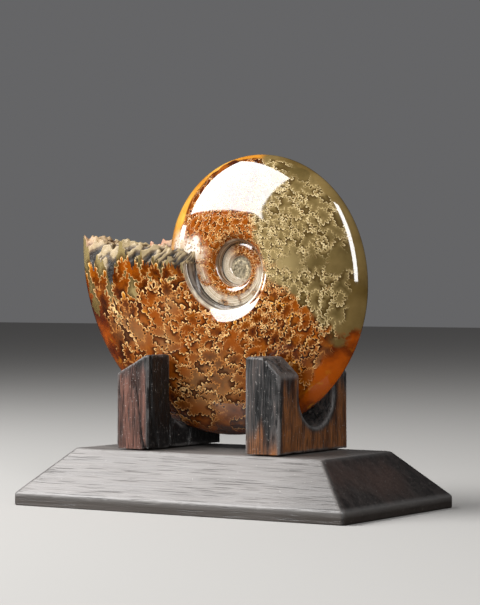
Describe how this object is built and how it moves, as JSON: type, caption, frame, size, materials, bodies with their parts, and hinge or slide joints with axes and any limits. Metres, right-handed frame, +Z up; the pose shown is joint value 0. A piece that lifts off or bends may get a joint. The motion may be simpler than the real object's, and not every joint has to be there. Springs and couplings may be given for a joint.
{
  "type": "polished ammonite fossil on a wooden stand",
  "caption": "Polished ammonite with frilled suture lines and a fluted broken end, standing upright in notched dark wooden cradles on a bevelled plinth.",
  "frame": {"origin": "middle of the plinth's underside", "axes": "+Z up; +X along the plinth's length, from the shell's broken end towards its rounded end; -Y towards the show side, the flank in the picture"},
  "size_m": [0.1348, 0.0756, 0.1228],
  "materials": {
    "polished_calcite": "high polish over amber, red-brown and grey-green calcite, with cream suture lines; rough pale stone on the broken end",
    "black_stained_wood": "black stain with open grain, satin",
    "brown_stained_wood": "dark stain worn through to red-brown on the lower faces, open grain, satin"
  },
  "bodies": {
    "root": {"ammonite": "polished_calcite", "plinth": "black_stained_wood", "cradle_left": "brown_stained_wood", "cradle_right": "brown_stained_wood"}
  },
  "joints": []
}
